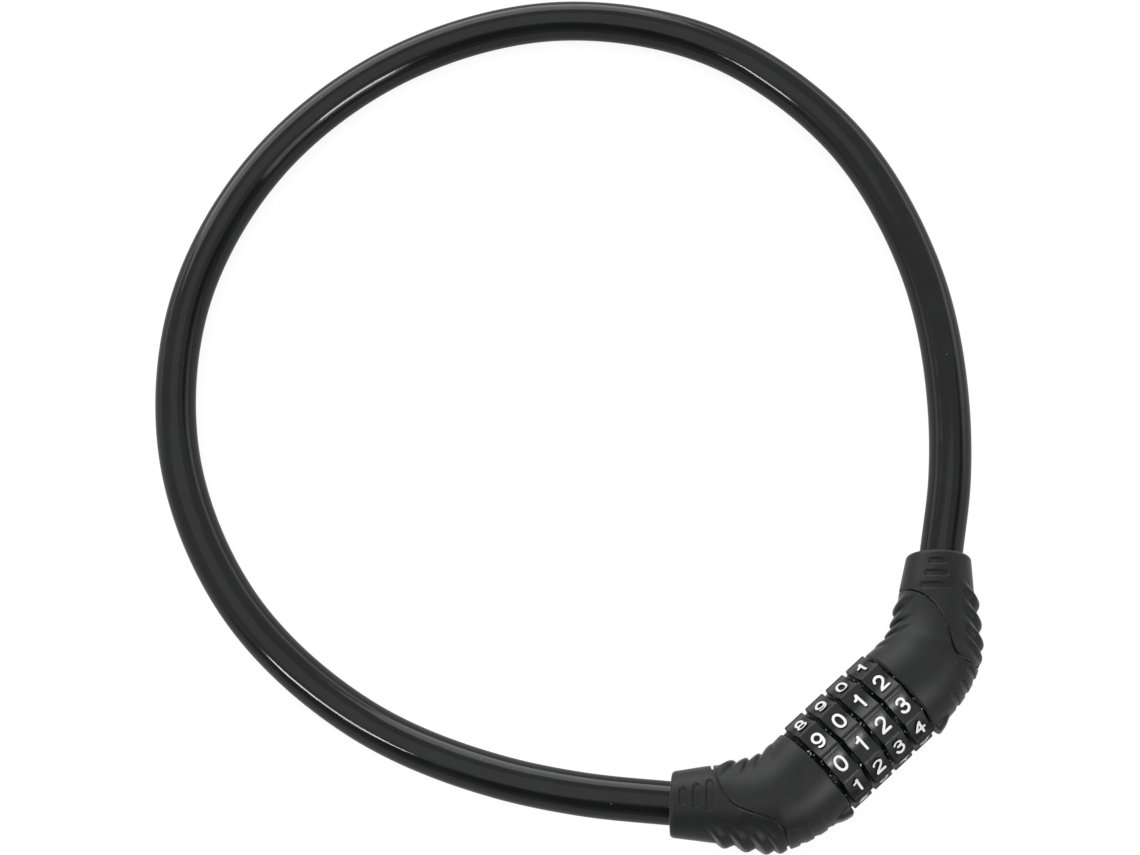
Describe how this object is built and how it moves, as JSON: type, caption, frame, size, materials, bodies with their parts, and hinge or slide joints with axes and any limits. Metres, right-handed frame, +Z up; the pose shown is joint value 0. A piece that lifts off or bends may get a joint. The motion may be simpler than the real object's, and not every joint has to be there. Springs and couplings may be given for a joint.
{
  "type": "combination cable lock",
  "caption": "Combination cable lock with numbered dials between bent ribbed housings, joined by a thick jacketed steel cable that closes into a loop.",
  "frame": {"origin": "under the middle of the lock's own outline (its dials, housings and inner pieces, without the cable), on the surface that it lies on", "axes": "+X along the lock axis, from the plug to the lock body; +Y from the lock towards the inside of the cable's loop; +Z up, square to the surface that it lies on"},
  "size_m": [0.2393, 0.2721, 0.0296],
  "materials": {
    "housing": "moulded, satin",
    "dial": "moulded, semi-gloss",
    "jacket": "extruded, glossy",
    "steel": "turned, bright",
    "zinc": "die-cast zinc, dull"
  },
  "bodies": {
    "lock": {"lock_elbow": "housing", "lock_collar": "housing", "lock_core": "zinc", "barrel": "zinc", "barrel_pin": "steel", "nose_ring": "steel", "spacer_rings": "steel", "detent_spring": "steel", "lock_ferrule": "steel", "lock_ferrule_pin": "steel", "cable_jacket": "jacket", "cable_rope": "steel"},
    "turning_dial_1": {"dial_1": "dial", "code_ring_1": "zinc"},
    "turning_dial_2": {"dial_2": "dial", "code_ring_2": "zinc"},
    "turning_dial_3": {"dial_3": "dial", "code_ring_3": "zinc"},
    "turning_dial_4": {"dial_4": "dial", "code_ring_4": "zinc"},
    "plug": {"plug_elbow": "housing", "plug_collar": "housing", "plug_core": "zinc", "bolt": "steel", "bolt_pin": "steel", "plug_ferrule": "steel", "plug_ferrule_pin": "steel"}
  },
  "joints": [
    {"name": "dial_1_turn", "type": "hinge", "parent": "lock", "child": "turning_dial_1", "pos_m": [0, -0.0056, 0.0148], "axis": [1, 0, 0], "continuous": true, "deforming": ["detent_spring"]},
    {"name": "dial_2_turn", "type": "hinge", "parent": "lock", "child": "turning_dial_2", "pos_m": [0, -0.0056, 0.0148], "axis": [1, 0, 0], "continuous": true},
    {"name": "dial_3_turn", "type": "hinge", "parent": "lock", "child": "turning_dial_3", "pos_m": [0, -0.0056, 0.0148], "axis": [1, 0, 0], "continuous": true},
    {"name": "dial_4_turn", "type": "hinge", "parent": "lock", "child": "turning_dial_4", "pos_m": [0, -0.0056, 0.0148], "axis": [1, 0, 0], "continuous": true},
    {"name": "plug_slide", "type": "slide", "parent": "lock", "child": "plug", "axis": [-1, 0, 0], "range_m": [0, 0.036], "deforming": ["cable_jacket", "cable_rope"]}
  ]
}
